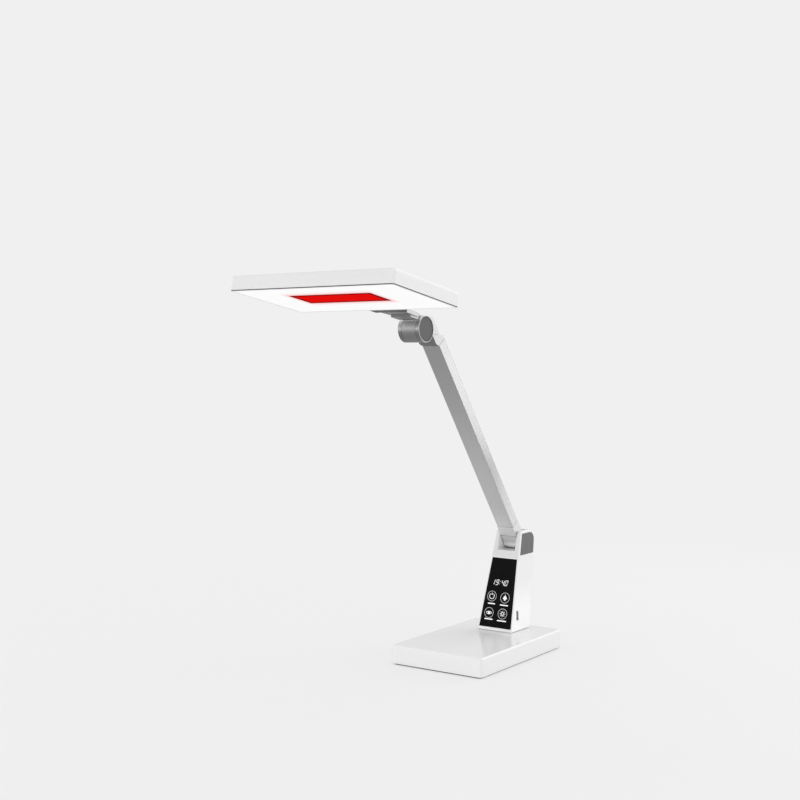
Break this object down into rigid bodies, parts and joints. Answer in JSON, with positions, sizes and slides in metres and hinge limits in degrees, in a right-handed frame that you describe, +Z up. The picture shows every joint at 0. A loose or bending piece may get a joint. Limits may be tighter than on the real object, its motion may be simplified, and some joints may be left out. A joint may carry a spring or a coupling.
{
  "type": "desk lamp",
  "caption": "Desk lamp with a slab base, a leaning stem with a touch display and a charging socket, a tilting arm and a flat panel head with a red light window.",
  "frame": {"origin": "middle of the base's footprint, on the table", "axes": "+Z up, -Y is the way the display faces and the head reaches, +X on the right of someone who looks at the display"},
  "size_m": [0.238, 0.4905, 0.5082],
  "materials": {
    "white_gloss": "white, glossy",
    "white_satin": "white, satin",
    "silver": "silver grey, satin",
    "casting": "grey die casting",
    "dark_grey": "dark grey, satin",
    "steel": "plated",
    "ballast": "grey primer",
    "black_glass": "black tinted acrylic, polished",
    "rubber": "black, matt",
    "board_green": "green solder mask",
    "board_white": "white solder mask",
    "black_plastic": "black, satin",
    "film": "grey film",
    "opal": "opal white, satin",
    "red_lens": "red, smooth",
    "nylon": "natural nylon"
  },
  "bodies": {
    "base": {"anti_slip_pad": "rubber", "base_bottom_cover": "black_plastic", "base_screw_1": "steel", "base_screw_2": "steel", "base_screw_3": "steel", "base_screw_4": "steel", "base_top_shell": "white_gloss", "ballast_plate": "ballast", "insulating_film": "film", "power_board": "board_green", "power_inlet": "black_plastic", "stem_shell": "white_gloss", "stem_rear_cover": "white_gloss", "stem_screw_left": "steel", "stem_screw_right": "steel", "display_glass": "black_glass", "display_board": "board_green", "clock_module": "black_plastic", "touch_spring_1": "steel", "touch_spring_2": "steel", "touch_spring_3": "steel", "touch_spring_4": "steel", "charging_socket_shell": "steel", "charging_socket_tongue": "black_plastic", "hinge_side_cap_left": "dark_grey", "hinge_side_cap_right": "dark_grey", "arm_hinge_bolt": "steel", "arm_hinge_nut": "steel", "arm_friction_washer_left": "nylon", "arm_friction_washer_right": "nylon"},
    "arm": {"arm_lower_knuckle": "silver", "arm_profile": "silver", "arm_screw_lower": "steel", "arm_screw_upper": "steel", "arm_lead": "black_plastic", "arm_head_bracket": "silver", "head_hinge_bolt": "steel", "head_hinge_nut": "steel", "head_friction_washer_left": "nylon", "head_friction_washer_right": "nylon", "barrel_cap_left": "dark_grey", "barrel_cap_right": "dark_grey"},
    "head": {"neck_bracket": "casting", "neck_screw_left": "steel", "neck_screw_right": "steel", "neck_escutcheon": "dark_grey", "head_housing": "white_gloss", "diffuser_seal": "rubber", "diffuser": "opal", "red_lens": "red_lens", "led_board": "board_white", "red_led_board": "board_white", "reflector_tray": "white_satin"}
  },
  "joints": [
    {"name": "arm_tilt", "type": "hinge", "parent": "base", "child": "arm", "pos_m": [0, 0.09954, 0.1475], "axis": [1, 0, 0], "range_deg": [-40, 45]},
    {"name": "head_tilt", "type": "hinge", "parent": "arm", "child": "head", "pos_m": [0, -0.15332, 0.44777], "axis": [1, 0, 0], "range_deg": [-40, 128]}
  ]
}
